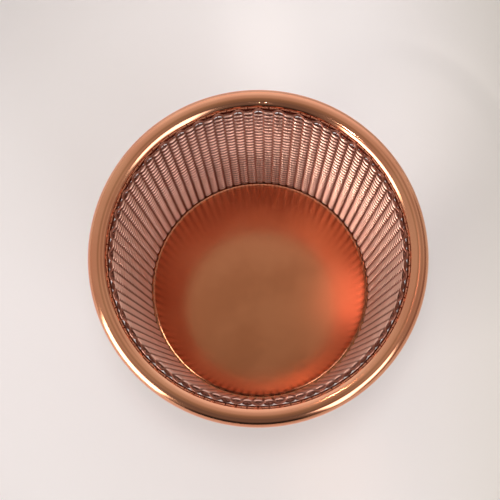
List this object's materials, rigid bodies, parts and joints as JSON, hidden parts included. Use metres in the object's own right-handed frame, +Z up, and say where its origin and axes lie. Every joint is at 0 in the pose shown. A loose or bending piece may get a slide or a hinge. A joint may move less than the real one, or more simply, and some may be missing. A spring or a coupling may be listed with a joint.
{
  "type": "wire mesh serving basket",
  "caption": "Round wire-mesh serving basket for chips and snacks: straight woven wall, tubular rim, pressed base plate and foot band, copper plated.",
  "frame": {"origin": "centre of the basket's footprint, on the surface it stands on", "axes": "+Z up along the basket's axis, from the foot to the rim; +X and +Y are any two level directions, because the basket is round"},
  "size_m": [0.09, 0.09, 0.09],
  "materials": {
    "polished_copper_plate": "polished",
    "satin_copper_plate": "satin",
    "copper_plated_wire": "polished"
  },
  "bodies": {
    "root": {"rim_tube": "polished_copper_plate", "foot_band": "polished_copper_plate", "base_plate": "satin_copper_plate", "warp_wires_1": "copper_plated_wire", "warp_wires_2": "copper_plated_wire", "warp_wires_3": "copper_plated_wire", "warp_wires_4": "copper_plated_wire", "warp_wires_5": "copper_plated_wire", "warp_wires_6": "copper_plated_wire", "warp_wires_7": "copper_plated_wire", "warp_wires_8": "copper_plated_wire", "warp_wires_9": "copper_plated_wire", "warp_wires_10": "copper_plated_wire", "warp_wires_11": "copper_plated_wire", "weft_wires_1": "copper_plated_wire", "weft_wires_2": "copper_plated_wire", "weft_wires_3": "copper_plated_wire", "weft_wires_4": "copper_plated_wire", "weft_wires_5": "copper_plated_wire", "weft_wires_6": "copper_plated_wire", "weft_wires_7": "copper_plated_wire", "weft_wires_8": "copper_plated_wire"}
  },
  "joints": []
}
